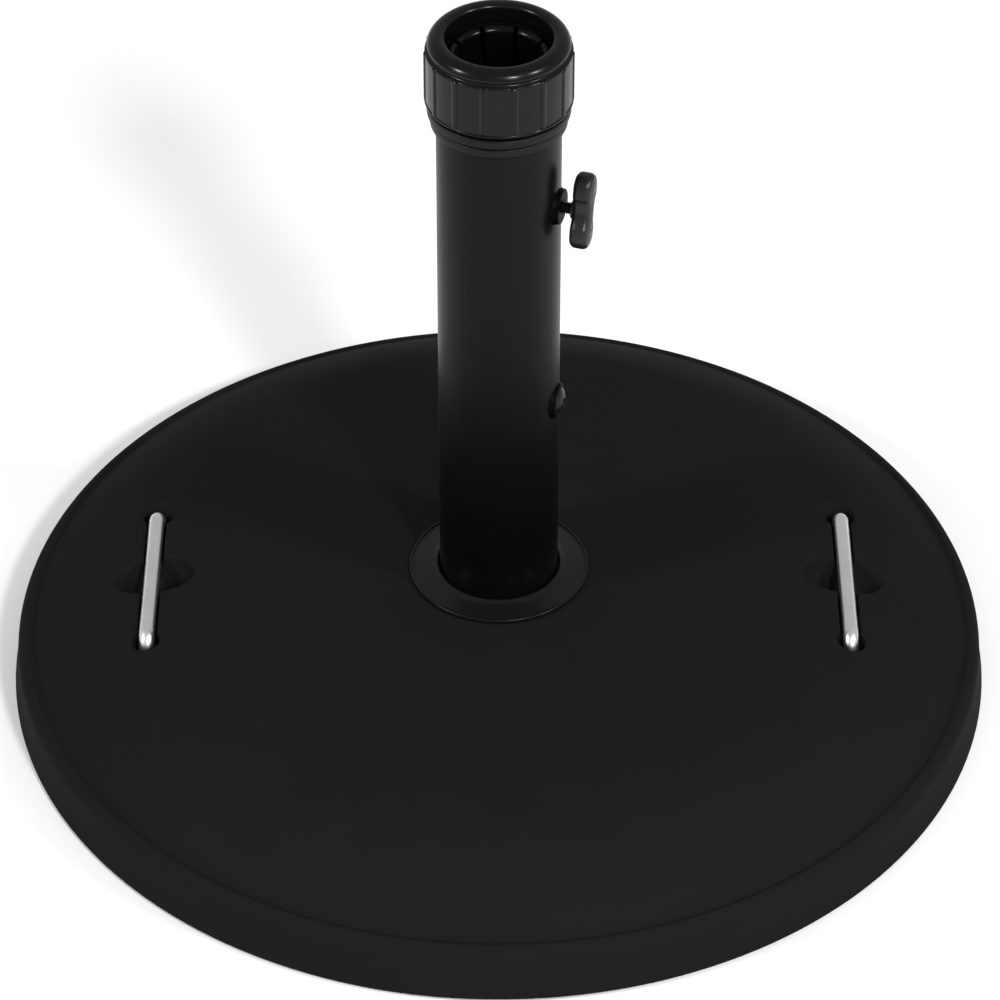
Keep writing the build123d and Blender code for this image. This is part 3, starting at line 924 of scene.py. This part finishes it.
def softbox(name, place, size, power, aim=(0, 0, 0.2)):
    """A rectangular area light that faces the object."""
    light = bpy.data.lights.new(name, "AREA")
    light.shape = "RECTANGLE"
    light.size, light.size_y = size
    light.energy = power
    obj = bpy.data.objects.new(name, light)
    obj.location = place
    obj.rotation_mode = "QUATERNION"
    obj.rotation_quaternion = (Vector(aim) - Vector(place)).to_track_quat("-Z", "Y")
    bpy.context.scene.collection.objects.link(obj)


def make_lights():
    """Three small softboxes and an even white sky."""
    world = bpy.data.worlds.new("studio")
    bpy.context.scene.world = world
    world.use_nodes = True
    background = world.node_tree.nodes["Background"]
    background.inputs["Color"].default_value = (1, 1, 1, 1)
    background.inputs["Strength"].default_value = 0.5
    softbox("key_front", (0.9, -2.1, 2.0), (0.3, 0.3), 50)
    softbox("key_right", (2.0, -1.1, 1.8), (0.25, 0.4), 35)
    softbox("fill_left", (-2.2, -0.9, 1.7), (0.3, 0.45), 38)


def make_camera():
    """The fitted view: from the front, about 40 degrees above the floor, through a long lens."""
    distance, elevation, roll = 2.3320, math.radians(39.117), math.radians(0.037)
    aim = Vector((0.0006, 0, 0.1064))
    sensor, focal_per_width = 36.0, 4.619
    camera = bpy.data.cameras.new("camera")
    camera.sensor_width = sensor
    camera.lens = sensor * focal_per_width
    obj = bpy.data.objects.new("camera", camera)
    back = Vector((0, -math.cos(elevation), math.sin(elevation)))
    obj.location = aim + back * distance
    obj.rotation_mode = "QUATERNION"
    obj.rotation_quaternion = (-back).to_track_quat("-Z", "Y") @ Matrix.Rotation(roll, 3, "Z").to_quaternion()
    bpy.context.scene.collection.objects.link(obj)
    bpy.context.scene.camera = obj


# ---------------------------------------------------------------- the object


def build():
    """Makes every piece and places it on its body."""
    dress_cad_nodes()
    put(make_cover(), "base", "cover_plastic", "weight_cover")
    put(make_tube(), "base", "tube_paint", "main_tube")
    put(make_boss("upper_screw_boss", CLAMP_Z, UPPER_BOSS_OUT), "base", "boss_paint", "upper_boss")
    put(make_boss("lower_screw_boss", PLUG_Z, LOWER_BOSS_OUT), "base", "boss_paint", "lower_boss")
    put(make_plug_screw(), "base", "screw_black", "lower_plug_screw")
    put(make_bush(), "base", "inner_plastic", "head_bush")
    put(make_pan(), "base", "pan_plastic", "bottom_pan")
    put(make_feet(), "base", "foot_rubber", "rubber_feet")
    put(make_collar(), "collar", "collar_plastic", "collar_ring")
    # the collet keeps the cap's slot but wears the darker copy of its plastic: painted shade inside the cap's
    # mouth
    put(make_collet(), "collet", "cap_plastic", "split_collet", look="collet_plastic")
    put(make_cap(), "cap", "cap_plastic", "screw_cap")
    put(make_stud(), "clamp_knob", "screw_black", "clamp_stud")
    put(make_knob(), "clamp_knob", "knob_plastic", "wing_knob")
    put(make_knob_hub(), "clamp_knob", "knob_plastic")
    put(make_handle(-1), "handle_l", "handle_steel", "handle_left")
    put(make_handle(1), "handle_r", "handle_steel", "handle_right")


make_camera()
make_floor()
make_lights()
build()
bpy.context.scene.view_settings.view_transform = "Standard"
